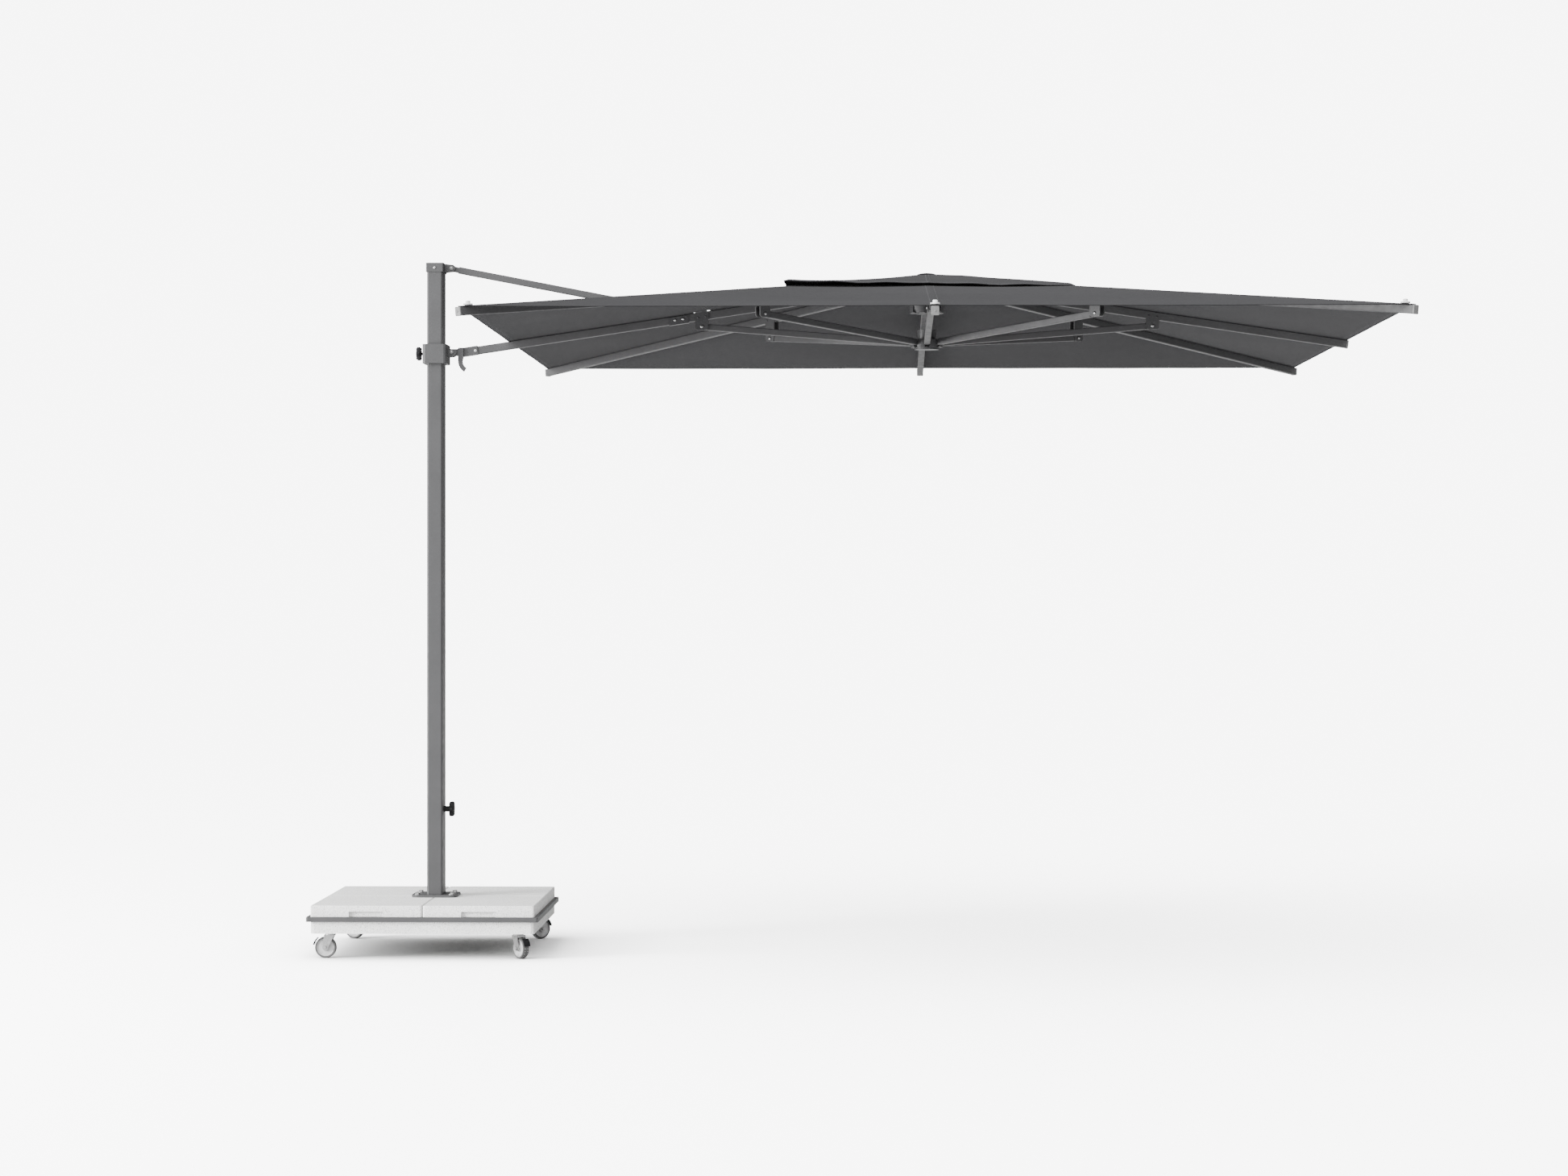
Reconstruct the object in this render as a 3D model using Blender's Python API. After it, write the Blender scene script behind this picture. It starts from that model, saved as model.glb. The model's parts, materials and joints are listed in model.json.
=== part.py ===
"""Cantilever garden parasol with a 3 m square canopy on a wheeled slab base.

Origin: on the mast's axis, at the underside of the base's ground plate. +X runs from the mast to the
canopy, +Z is up. The two arms and the mast form an isosceles triangle, and so do each rib, its strut
and the hub axis, so every pivot of the folding linkage turns in a constant ratio to the upper arm.
"""
import math

import bmesh
import bpy

GAP = 0.0003                      # between pieces that touch
CASTER_HEIGHT = 0.085             # floor to the ground plate's underside


def above_floor(height):
    """Height of a point in this part's frame, from its height above the floor."""
    return height - CASTER_HEIGHT


# Base
PLATE_HALF = 0.20
PLATE_T = 0.005
SLAB_HALF = 0.39
RIM_HALF = 0.404
RIM_INNER = 0.35
BLOCK_TOP = above_floor(0.132)
RIM_TOP = above_floor(0.1487)
SLAB_TOP = above_floor(0.188)
SLAB_JOINT = 0.003
GRIP_WIDTH = 0.12
GRIP_HEIGHT = 0.018
GRIP_DEPTH = 0.010
FOOT_X = 0.162
FOOT_Y = 0.150
FOOT_T = 0.008
SPIGOT_R = 0.022
SPIGOT_TOP = above_floor(0.56)

# Casters
CASTER_AT = 0.329
WHEEL_R = 0.0375
WHEEL_HALF = 0.012
TRAIL = 0.016
LEG_IN = 0.0145
LEG_OUT = 0.0175
AXLE_R = 0.004
BRAKE_R = 0.0412
SWIVELS = {"front_left": (-1, -1, 180), "front_right": (1, -1, -52),
           "rear_left": (-1, 1, 160), "rear_right": (1, 1, 38)}

# Mast
MAST_X = 0.056
MAST_Y = 0.100
MAST_WALL = 0.003
MAST_TOP = above_floor(2.4505)
HEAD_TOP = above_floor(2.4549)
HEAD_LOW = above_floor(2.4229)
KNOB_Z = above_floor(0.50)

# Linkage pivots
PIVOT_X = 0.056
HEAD_PIVOT_Z = above_floor(2.4386)
COLLAR_PIVOT_Z = above_floor(2.1387)
LOAD_PIVOT_Z = (HEAD_PIVOT_Z + COLLAR_PIVOT_Z) / 2
PIN_R = 0.004
PIN_HOLE_R = 0.0043
CHEEK_IN = 0.0123                 # clevis cheeks, from the arms' middle plane
CHEEK_OUT = 0.0160
TONGUE = 0.0118                   # half width of what turns between the cheeks

# Collar
COLLAR_X = 0.043
COLLAR_Y = 0.064
COLLAR_UP = 0.025
COLLAR_DOWN = 0.0434
COLLAR_KNOB_DROP = 0.006

# Canopy
CENTRE_X = 1.759
HALF = 1.5
HEM_Z = above_floor(2.177)
RISE = 0.225
FABRIC_T = 0.0012
OPENING_HALF = 0.24
VENT_HALF = 0.50
VENT_HEM_Z = above_floor(2.340)
VENT_TOP_Z = above_floor(2.416)

# Ribs and struts
RIB_W = 0.024
RIB_H = 0.028
RIB_WALL = 0.0018
RIB_BELOW = 0.0165                # fabric's middle to the rib's centreline
RIB_START = 0.066
RIB_END = 0.004                   # hem to the rib's end
HUB_R = 0.045                     # pivot circle of the crown and the runner
CROWN_OUT = 0.062
SLOT_IN = 0.030
SLOT_HALF = 0.0085
STRUT_AT = 0.805                  # strut pins' distance from the canopy's centre
STRUT_PIN_Z = above_floor(2.2275)
RUNNER_Z = above_floor(2.168)
CROWN_PIVOT_Z = 2 * STRUT_PIN_Z - RUNNER_Z
STRUT_W = 0.022
STRUT_TONGUE = 0.0072
STRUT_H = 0.022
STRUT_WALL = 0.0016
RUNNER_OUT = 0.058
RUNNER_BODY_R = 0.033
ROOT_HALF = 0.0078                # half width of a rib's root tongue
CROWN_TOP = above_floor(2.372)

# Arms
UPPER_SLOPE = 0.194
UPPER_LINE_Z = above_floor(2.4358)  # upper tube's centreline where x is UPPER_LINE_X
UPPER_LINE_X = 0.0625
UPPER_W = 0.020
UPPER_H = 0.024
UPPER_WALL = 0.0018
UPPER_PLUG = 0.030                # how far each end fitting reaches into the tube
UPPER_START_X = 0.082
UPPER_END_X = 0.838
SPLICE_X = 0.872


# ---------------------------------------------------------------- outlines
def rounded(width, height, radius, steps=2):
    """Rectangle about the origin with rounded corners, anticlockwise."""
    points = []
    for sx, sy, start in ((1, 1, 0), (-1, 1, 90), (-1, -1, 180), (1, -1, 270)):
        for i in range(steps + 1):
            a = math.radians(start + 90 * i / steps)
            points.append((sx * (width / 2 - radius) + radius * math.cos(a),
                           sy * (height / 2 - radius) + radius * math.sin(a)))
    return points


def circle(radius, count=24, centre=(0.0, 0.0)):
    turns = [2 * math.pi * i / count for i in range(count)]
    return [(centre[0] + radius * math.cos(a), centre[1] + radius * math.sin(a)) for a in turns]


def arc(centre, radius, start, end, steps):
    """Points on an arc, with its angles in degrees."""
    angles = [math.radians(start + (end - start) * i / steps) for i in range(steps + 1)]
    return [(centre[0] + radius * math.cos(a), centre[1] + radius * math.sin(a)) for a in angles]


def lobed(radius, depth, lobes, count):
    turns = [2 * math.pi * i / count for i in range(count)]
    return [((radius - depth + depth * math.cos(lobes * a)) * math.cos(a),
             (radius - depth + depth * math.cos(lobes * a)) * math.sin(a)) for a in turns]


def slotted_disc(outer, inner, half_width):
    """Disc with eight radial slots, each from the radius inner outwards."""
    points = []
    edge = math.asin(half_width / outer)
    for k in range(8):
        mid = k * math.pi / 4
        ux, uy = math.cos(mid), math.sin(mid)
        for along, side in ((outer * math.cos(edge), -1), (inner, -1), (inner, 1),
                            (outer * math.cos(edge), 1)):
            points.append((along * ux - side * half_width * uy, along * uy + side * half_width * ux))
        for i in (1, 2, 3):
            a = mid + edge + (math.pi / 4 - 2 * edge) * i / 4
            points.append((outer * math.cos(a), outer * math.sin(a)))
    return points


# ---------------------------------------------------------------- solids
def placed(a, b, t, axis):
    """A point of an outline (a, b) at the distance t along an axis."""
    return {"X": (t, a, b), "Y": (a, t, b), "Z": (a, b, t)}[axis]


def solid(verts, faces):
    mesh = bpy.data.meshes.new("solid")
    mesh.from_pydata(verts, [], faces)
    bm = bmesh.new()
    bm.from_mesh(mesh)
    bmesh.ops.recalc_face_normals(bm, faces=bm.faces)
    bm.to_mesh(mesh)
    bm.free()
    return mesh


def loft(sections, axis):
    """Closed body through (distance, outline) sections, whose outlines have equal counts."""
    count = len(sections[0][1])
    verts = [placed(a, b, t, axis) for t, outline in sections for a, b in outline]
    faces = [list(range(count)), list(range(len(verts) - count, len(verts)))]
    for s in range(len(sections) - 1):
        for i in range(count):
            j = (i + 1) % count
            faces.append([s * count + i, s * count + j, (s + 1) * count + j, (s + 1) * count + i])
    return solid(verts, faces)


def prism(outline, low, high, axis):
    return loft([(low, outline), (high, outline)], axis)


def pipe(outer, inner, low, high, axis):
    """Outline extruded with a matching hole right through it."""
    count = len(outer)
    rings = [(outer, low), (outer, high), (inner, high), (inner, low)]
    verts = [placed(a, b, t, axis) for outline, t in rings for a, b in outline]
    faces = []
    for r in range(4):
        for i in range(count):
            j = (i + 1) % count
            n = (r + 1) % 4
            faces.append([r * count + i, r * count + j, n * count + j, n * count + i])
    return solid(verts, faces)


def turned(loop, count):
    """A closed loop of (radius, height) points turned about the local Y axis, like a wheel."""
    verts = []
    for i in range(count):
        a = 2 * math.pi * i / count
        verts += [(r * math.cos(a), h, r * math.sin(a)) for r, h in loop]
    size = len(loop)
    faces = []
    for i in range(count):
        for k in range(size):
            n = (k + 1) % size
            m = (i + 1) % count
            faces.append([i * size + k, i * size + n, m * size + n, m * size + k])
    return solid(verts, faces)


def box(low, high):
    x0, y0, z0 = low
    x1, y1, z1 = high
    return prism([(x0, y0), (x1, y0), (x1, y1), (x0, y1)], z0, z1, "Z")


def frame_at(name, location, turn=(0.0, 0.0, 0.0), parent=None):
    empty = bpy.data.objects.new(name, None)
    bpy.context.collection.objects.link(empty)
    empty.location = location
    empty.rotation_euler = turn
    empty.parent = parent
    return empty


def part(name, mesh, material, parent=None, location=(0, 0, 0), turn=(0, 0, 0)):
    mesh.name = name
    mesh.materials.append(material)
    mesh.shade_smooth()
    mesh.set_sharp_from_angle(angle=math.radians(35))
    obj = bpy.data.objects.new(name, mesh)
    bpy.context.collection.objects.link(obj)
    obj.parent = parent
    obj.location = location
    obj.rotation_euler = turn
    return obj


def combine(target, mesh, operation, parent=None, location=(0, 0, 0), turn=(0, 0, 0)):
    """Adds a hidden body to the target with a Boolean, or cuts the body away from it."""
    tool = bpy.data.objects.new(f"{target.name}_tool_{len(target.modifiers)}", mesh)
    bpy.context.collection.objects.link(tool)
    tool.parent = parent
    tool.location = location
    tool.rotation_euler = turn
    tool.hide_render = True
    tool.display_type = "WIRE"
    modifier = target.modifiers.new(operation.lower(), "BOOLEAN")
    modifier.operation = operation
    modifier.solver = "EXACT"
    modifier.object = tool


def make_material(name, colour, roughness, metallic):
    material = bpy.data.materials.new(name)
    material.use_nodes = True
    shader = material.node_tree.nodes["Principled BSDF"]
    shader.inputs["Base Color"].default_value = (*colour, 1.0)
    shader.inputs["Roughness"].default_value = roughness
    shader.inputs["Metallic"].default_value = metallic
    return material


# ---------------------------------------------------------------- base
def make_base(mats):
    concrete, rim, steel = mats["concrete"], mats["rim"], mats["steel"]
    square = rounded(2 * PLATE_HALF, 2 * PLATE_HALF, 0.02)
    part("ground_plate", prism(square, 0, PLATE_T, "Z"), steel)
    block = rounded(2 * SLAB_HALF, 2 * SLAB_HALF, 0.012)
    raised = rounded(2 * (RIM_INNER - GAP), 2 * (RIM_INNER - GAP), 0.006)
    sections = [(PLATE_T + GAP, block), (BLOCK_TOP, block), (BLOCK_TOP, raised), (RIM_TOP, raised)]
    part("base_block", loft(sections, "Z"), concrete)
    part("base_rim", pipe(rounded(2 * RIM_HALF, 2 * RIM_HALF, 0.006),
                          rounded(2 * RIM_INNER, 2 * RIM_INNER, 0.006),
                          BLOCK_TOP + GAP, RIM_TOP, "Z"), rim)
    side = SLAB_HALF - SLAB_JOINT / 2
    middle = (SLAB_HALF + SLAB_JOINT / 2) / 2
    low = RIM_TOP + GAP
    for name, sx, sy in (("slab_front_left", -1, -1), ("slab_front_right", 1, -1),
                         ("slab_rear_left", -1, 1), ("slab_rear_right", 1, 1)):
        outline = rounded(side, side, 0.006)
        edge = rounded(side - 0.005, side - 0.005, 0.004)
        slab = part(name, loft([(low, outline), (SLAB_TOP - 0.0025, outline), (SLAB_TOP, edge)], "Z"),
                    concrete, location=(sx * middle, sy * middle, 0))
        outer_face = sy * (SLAB_HALF - middle)
        ends = sorted((outer_face - sy * GRIP_DEPTH, outer_face + sy * 0.02))
        notch = box((-GRIP_WIDTH / 2, ends[0], low - 0.01), (GRIP_WIDTH / 2, ends[1], low + GRIP_HEIGHT))
        combine(slab, notch, "DIFFERENCE", location=(sx * middle, sy * middle, 0))
    foot_low = SLAB_TOP + GAP
    foot = part("mast_foot", prism(rounded(FOOT_X, FOOT_Y, 0.022, 3), foot_low, foot_low + FOOT_T, "Z"), rim)
    combine(foot, prism(circle(SPIGOT_R, 24), foot_low + 0.003, SPIGOT_TOP, "Z"), "UNION")


def make_casters(mats):
    axle_z = WHEEL_R - CASTER_HEIGHT
    top = PLATE_T
    for place, (sx, sy, swivel) in SWIVELS.items():
        stand = frame_at(f"caster_{place}", (sx * CASTER_AT, sy * CASTER_AT, 0), (0, 0, math.radians(swivel)))
        fork = part(f"caster_fork_{place}", prism(circle(0.031, 24), top - 0.003, top, "Z"), mats["steel"],
                    stand)
        combine(fork, prism(circle(0.019, 16), -0.0045, top - 0.001, "Z"), "UNION", stand)
        combine(fork, box((-0.015, -LEG_OUT, -0.0075), (0.020, LEG_OUT, -0.0035)), "UNION", stand)
        leg = [(-0.015, -0.0045), (0.0195, -0.0045)]
        leg += [(TRAIL + 0.0105, axle_z), *arc((TRAIL, axle_z), 0.0105, -30, -150, 3)]
        leg += [(TRAIL - 0.0105, axle_z)]
        for y0, y1 in ((-LEG_OUT, -LEG_IN), (LEG_IN, LEG_OUT)):
            combine(fork, prism(leg[::-1], y0, y1, "Y"), "UNION", stand)
        combine(fork, prism(circle(AXLE_R, 12, (TRAIL, axle_z)), -0.0195, 0.0195, "Y"), "UNION", stand)
        loop = [(AXLE_R + 0.0003, -WHEEL_HALF), (0.012, -WHEEL_HALF), (0.0135, -0.0075), (0.027, -0.0075),
                (0.029, -0.0105), (WHEEL_R - 0.003, -0.0105), (WHEEL_R, -0.006)]
        loop += [(r, -h) for r, h in reversed(loop)]
        part(f"caster_wheel_{place}", turned(loop, 24), mats["wheel"], stand, (TRAIL, 0, axle_z))
        pedal = arc((0, 0), BRAKE_R, 12, 50, 5) + arc((0, 0), BRAKE_R + 0.0035, 50, 12, 5)
        hinge = (TRAIL + BRAKE_R * math.cos(math.radians(50)), 0, axle_z + BRAKE_R * math.sin(math.radians(50)))
        shift = [(x + TRAIL - hinge[0], z + axle_z - hinge[2]) for x, z in pedal]
        part(f"caster_brake_{place}", prism(shift, -0.012, 0.012, "Y"), mats["black"], stand, hinge)


# ---------------------------------------------------------------- mast
def make_mast(mats):
    powder, black, steel = mats["powder"], mats["black"], mats["steel"]
    low = SLAB_TOP + GAP + FOOT_T + GAP
    outer = rounded(MAST_X, MAST_Y, 0.006)
    inner = rounded(MAST_X - 2 * MAST_WALL, MAST_Y - 2 * MAST_WALL, 0.003)
    mast = part("mast_tube", pipe(outer, inner, low, MAST_TOP, "Z"), powder)
    face = MAST_X / 2
    combine(mast, prism(circle(0.0056, 12, (0, KNOB_Z)), face - 0.01, face + 0.01, "X"), "DIFFERENCE")
    bush_outline = rounded(MAST_X - 2 * MAST_WALL - 0.001, MAST_Y - 2 * MAST_WALL - 0.001, 0.003)
    bush = part("mast_bush", prism(bush_outline, SPIGOT_TOP - 0.041, SPIGOT_TOP - 0.001, "Z"), black)
    bore = prism(circle(SPIGOT_R + 0.0005, 24), SPIGOT_TOP - 0.06, SPIGOT_TOP + 0.02, "Z")
    combine(bush, bore, "DIFFERENCE")

    head = part("mast_head", prism(rounded(0.063, 0.106, 0.004), HEAD_LOW, HEAD_TOP, "Z"), powder)
    cavity = rounded(MAST_X + 2 * GAP, MAST_Y + 2 * GAP, 0.006)
    combine(head, prism(cavity, HEAD_LOW - 0.01, MAST_TOP + GAP, "Z"), "DIFFERENCE")
    ear = [(0.0300, HEAD_LOW + 0.001), *arc((PIVOT_X, HEAD_PIVOT_Z), 0.0135, -60, 60, 4),
           (0.0300, HEAD_TOP - 0.001)]
    for y0, y1 in ((-CHEEK_OUT, -CHEEK_IN), (CHEEK_IN, CHEEK_OUT)):
        combine(head, prism(ear, y0, y1, "Y"), "UNION")
    pin_hole = prism(circle(PIN_HOLE_R, 16, (PIVOT_X, HEAD_PIVOT_Z)), -0.02, 0.02, "Y")
    combine(head, pin_hole, "DIFFERENCE")
    make_pin("head_pin", PIVOT_X, HEAD_PIVOT_Z, steel)

    boss = pipe(circle(0.0105, 16, (0, KNOB_Z)), circle(0.0056, 16, (0, KNOB_Z)), face + GAP, face + 0.020, "X")
    part("clamp_boss", boss, black)
    make_knob("clamp_knob", (SPIGOT_R + 0.001, face + 0.0203, face + 0.0365), KNOB_Z, 0.030, black)


def make_pin(name, x, z, material, half=0.0190):
    """Pivot pin along Y with a low head at each end."""
    head = circle(0.0068, 16)
    shank = circle(PIN_R, 16)
    at_cheek = CHEEK_OUT + GAP
    sections = [(-half, head), (-at_cheek, head), (-at_cheek, shank), (at_cheek, shank), (at_cheek, head),
                (half, head)]
    part(name, loft(sections, "Y"), material, location=(x, 0, z))


def make_knob(name, stops, z, radius, material):
    """Lobed hand knob on a stud along X: stops are the stud's tip, the knob's near and far faces."""
    tip, near, far = stops
    count = 36
    thick = far - near
    stud = circle(0.005, count)
    sections = [(tip, stud), (near, stud), (near, lobed(radius - 0.003, 0.003, 6, count)),
                (near + 0.25 * thick, lobed(radius, 0.004, 6, count)),
                (near + 0.75 * thick, lobed(radius, 0.004, 6, count)),
                (far, lobed(radius - 0.004, 0.003, 6, count))]
    part(name, loft(sections, "X"), material, location=(0, 0, z))


# ---------------------------------------------------------------- arms and collar
def make_collar(mats):
    z = COLLAR_PIVOT_Z
    outer = rounded(2 * COLLAR_X, 2 * COLLAR_Y, 0.010)
    inner = rounded(MAST_X + 0.0014, MAST_Y + 0.0014, 0.005)
    collar = part("collar", pipe(outer, inner, -COLLAR_DOWN, COLLAR_UP, "Z"), mats["powder"],
                  location=(0, 0, z))
    cheek = [(0.0400, z - 0.0195), (PIVOT_X + 0.008, z - 0.0175),
             *arc((PIVOT_X, z), 0.0190, -40, 28, 4), (PIVOT_X, z + 0.0100), (0.0400, z + 0.0100)]
    for y0, y1 in ((-CHEEK_OUT, -CHEEK_IN), (CHEEK_IN, CHEEK_OUT)):
        combine(collar, prism(cheek, y0, y1, "Y"), "UNION")
    combine(collar, prism(circle(PIN_HOLE_R, 16, (PIVOT_X, z)), -0.02, 0.02, "Y"), "DIFFERENCE")
    knob_z = z - COLLAR_KNOB_DROP
    combine(collar, prism(circle(0.0056, 16, (0, knob_z)), -0.05, -0.02, "X"), "DIFFERENCE")
    make_pin("collar_pin", PIVOT_X, z, mats["steel"])
    stops = (-MAST_X / 2 - 0.0008, -COLLAR_X - 0.0115, -0.0710)
    make_knob("collar_knob", stops, knob_z, 0.027, mats["black"])


def rib_line(x_from_centre):
    """Height of a side rib's centreline at a distance from the canopy's centre."""
    return HEM_Z + RISE * (1 - x_from_centre / HALF) - RIB_BELOW


def make_upper_arm(mats):
    slope = math.atan(UPPER_SLOPE)
    length = (UPPER_END_X - UPPER_START_X) / math.cos(slope)
    start_z = UPPER_LINE_Z - UPPER_SLOPE * (UPPER_START_X - UPPER_LINE_X)
    end_z = UPPER_LINE_Z - UPPER_SLOPE * (UPPER_END_X - UPPER_LINE_X)
    hollow = rounded(UPPER_W - 2 * UPPER_WALL, UPPER_H - 2 * UPPER_WALL, 0.0015)
    tube = pipe(rounded(UPPER_W, UPPER_H, 0.003), hollow, 0, length, "X")
    part("upper_arm_tube", tube, mats["powder"], location=(UPPER_START_X, 0, start_z), turn=(0, slope, 0))

    inside = UPPER_H / 2 - UPPER_WALL - 0.0007
    plug = UPPER_PLUG
    drop = UPPER_SLOPE * plug
    plug_half = UPPER_W / 2 - UPPER_WALL - 0.0007
    pivot = (PIVOT_X, HEAD_PIVOT_Z)
    near = [*arc(pivot, 0.0110, 115, 255, 6), (UPPER_START_X - GAP, start_z - inside),
            (UPPER_START_X + plug, start_z - inside - drop), (UPPER_START_X + plug, start_z + inside - drop),
            (UPPER_START_X - GAP, start_z + inside)]
    fork = part("upper_arm_head_end", prism(near, -plug_half, plug_half, "Y"), mats["powder"])
    combine(fork, prism(circle(PIN_HOLE_R, 16, pivot), -0.02, 0.02, "Y"), "DIFFERENCE")

    load = (CENTRE_X - STRUT_AT, LOAD_PIVOT_Z)
    far = [(UPPER_END_X - plug, end_z - inside + drop), (UPPER_END_X + GAP, end_z - inside),
           *arc(load, 0.0088, -75, 105, 7), (UPPER_END_X + GAP, end_z + inside),
           (UPPER_END_X - plug, end_z + inside + drop)]
    eye = part("upper_arm_canopy_end", prism(far, -plug_half, plug_half, "Y"), mats["powder"])
    combine(eye, prism(circle(PIN_HOLE_R, 16, load), -0.02, 0.02, "Y"), "DIFFERENCE")
    make_pin("load_pin", *load, mats["steel"])


def make_lower_arm(mats):
    """Handle block, arm tube and splice, in a frame that lies along the left rib's centreline."""
    powder = mats["powder"]
    slope = math.atan(RISE / HALF)
    origin_z = rib_line(CENTRE_X - PIVOT_X)
    line = frame_at("lower_arm_line", (PIVOT_X, 0, origin_z), (0, -slope, 0))
    offset = COLLAR_PIVOT_Z - origin_z
    pivot = (offset * math.sin(slope), offset * math.cos(slope))
    body = box((0.0245, -0.016, -0.0145), (0.0955, 0.016, 0.0165))
    block = part("handle_block", body, powder, line)
    tongue = [*arc(pivot, 0.0105, 90, 270, 6), (0.030, -0.0125), (0.030, 0.0145)]
    combine(block, prism(tongue, -TONGUE, TONGUE, "Y"), "UNION", line)
    combine(block, prism(circle(PIN_HOLE_R, 16, pivot), -0.03, 0.03, "Y"), "DIFFERENCE", line)

    splice = (SPLICE_X - PIVOT_X) / math.cos(slope)
    outer = rounded(RIB_W, RIB_H, 0.0025)
    inner = rounded(RIB_W - 2 * RIB_WALL, RIB_H - 2 * RIB_WALL, 0.001)
    part("lower_arm_tube", pipe(outer, inner, 0.0955 + GAP, splice - GAP, "X"), powder, line)
    side = RIB_W / 2 + GAP
    base = -RIB_H / 2 - GAP
    channel = [(side, 0.011), (side, base), (-side, base), (-side, 0.011), (-side - 0.002, 0.011),
               (-side - 0.002, base - 0.002), (side + 0.002, base - 0.002), (side + 0.002, 0.011)]
    part("splice_channel", prism(channel, splice - 0.037, splice + 0.034, "X"), mats["dark"], line)

    pin_x = CENTRE_X - STRUT_AT
    cheek = [(pin_x - 0.0235, STRUT_PIN_Z + 0.001),
             *arc((pin_x - 0.0135, STRUT_PIN_Z - 0.002), 0.010, 190, 270, 2),
             *arc((pin_x + 0.0135, STRUT_PIN_Z - 0.002), 0.010, 270, 350, 2),
             (pin_x + 0.0235, LOAD_PIVOT_Z - 0.010), *arc((pin_x, LOAD_PIVOT_Z), 0.0125, 10, 170, 6),
             (pin_x - 0.0235, LOAD_PIVOT_Z - 0.010)]
    bracket = part("load_bracket", prism(cheek, CHEEK_IN, CHEEK_OUT, "Y"), mats["dark"])
    combine(bracket, prism(cheek, -CHEEK_OUT, -CHEEK_IN, "Y"), "UNION")
    spacer = box((-0.0200, -CHEEK_OUT, -0.0200), (-0.0126, CHEEK_OUT, -0.0146))
    combine(bracket, spacer, "UNION", line, ((pin_x - PIVOT_X) / math.cos(slope), 0, 0))
    hole = prism(circle(PIN_HOLE_R, 16, (pin_x, LOAD_PIVOT_Z)), -0.02, 0.02, "Y")
    combine(bracket, hole, "DIFFERENCE")


def make_lever(mats):
    """Curved hand lever on the near side of the handle block."""
    hub = (PIVOT_X + 0.036, COLLAR_PIVOT_Z + 0.006)
    outer = [(hub[0] - 0.010, hub[1] + 0.008), (hub[0] - 0.011, hub[1] - 0.030)]
    outer += arc((hub[0] + 0.034, hub[1] - 0.040), 0.045, 180, 238, 6)
    inner = arc((hub[0] + 0.034, hub[1] - 0.040), 0.029, 238, 180, 6)
    inner += [(hub[0] + 0.0075, hub[1] - 0.030), (hub[0] + 0.008, hub[1] + 0.008)]
    outline = [(x - hub[0], z - hub[1]) for x, z in outer + inner]
    part("release_lever", prism(outline, -0.026, -0.0165, "Y"), mats["dark"], location=(hub[0], 0, hub[1]))


# ---------------------------------------------------------------- crown, runner, ribs and struts
def make_hubs(mats):
    disc = slotted_disc(CROWN_OUT, SLOT_IN, SLOT_HALF)
    top = CROWN_TOP
    at = (CENTRE_X, 0, 0)
    part("crown", prism(disc, CROWN_PIVOT_Z - 0.013, top, "Z"), mats["dark"], location=at)
    dome = [(top + GAP, circle(0.046, 24)), (top + 0.010, circle(0.046, 24)),
            (top + 0.022, circle(0.038, 24)), (top + 0.030, circle(0.024, 24)),
            (top + 0.034, circle(0.008, 24))]
    part("crown_cap", loft(dome, "Z"), mats["dark"], location=at)
    runner = part("runner", prism(slotted_disc(RUNNER_OUT, SLOT_IN, SLOT_HALF), -0.016, 0.011, "Z"),
                  mats["dark"], location=(CENTRE_X, 0, RUNNER_Z))
    flange = prism(circle(0.044, 24), -0.024, -0.0155, "Z")
    combine(runner, flange, "UNION", location=(CENTRE_X, 0, RUNNER_Z))
    body = prism(circle(RUNNER_BODY_R, 24), 0.010, 0.046, "Z")
    combine(runner, body, "UNION", location=(CENTRE_X, 0, RUNNER_Z))


def make_rib(name, azimuth, mats):
    """One rib with its root tongue, and the strut bracket under it. The origin is its crown pivot."""
    corner = azimuth % 90 != 0
    reach = HALF * (math.sqrt(2) if corner else 1)
    slope = math.atan(RISE / reach)
    left = azimuth == 180

    def line_z(radius):
        return HEM_Z + RISE * (1 - radius / reach) - RIB_BELOW - CROWN_PIVOT_Z

    turn = math.radians(azimuth)
    pivot = (CENTRE_X + HUB_R * math.cos(turn), HUB_R * math.sin(turn), CROWN_PIVOT_Z)
    root = frame_at(f"{name}_root", pivot, (0, 0, turn))
    end = CENTRE_X - SPLICE_X if left else reach - RIB_END
    length = (end - RIB_START) / math.cos(slope) - (GAP if left else 0)
    outer = rounded(RIB_W, RIB_H, 0.0025)
    inner = rounded(RIB_W - 2 * RIB_WALL, RIB_H - 2 * RIB_WALL, 0.001)
    at = (RIB_START - HUB_R, 0, line_z(RIB_START))
    rib = part(name, pipe(outer, inner, 0, length, "X"), mats["powder"], root, at, (0, slope, 0))

    inside = RIB_H / 2 - 0.0008
    inner_x = RIB_START - HUB_R
    plug_x = inner_x + 0.025
    tongue = [*arc((0, 0), 0.011, 180, 350, 6), (inner_x, line_z(RIB_START) - inside),
              (plug_x, line_z(plug_x + HUB_R) - inside), (plug_x, line_z(plug_x + HUB_R) + inside),
              (inner_x - 0.006, line_z(RIB_START) + inside), (-0.009, 0.040)]
    combine(rib, prism(tongue, -ROOT_HALF, ROOT_HALF, "Y"), "UNION", root)
    if left:
        return
    pin_x = STRUT_AT - HUB_R
    pin_z = STRUT_PIN_Z - CROWN_PIVOT_Z
    top = line_z(STRUT_AT) + 0.009
    cheek = [(pin_x - 0.0235, top), (pin_x - 0.0235, pin_z + 0.001),
             *arc((pin_x - 0.0135, pin_z - 0.002), 0.010, 190, 270, 2),
             *arc((pin_x + 0.0135, pin_z - 0.002), 0.010, 270, 350, 2), (pin_x + 0.0235, top)]
    for y0, y1 in ((-0.0125, -0.0085), (0.0085, 0.0125)):
        combine(rib, prism(cheek, y0, y1, "Y"), "UNION", root)


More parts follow.
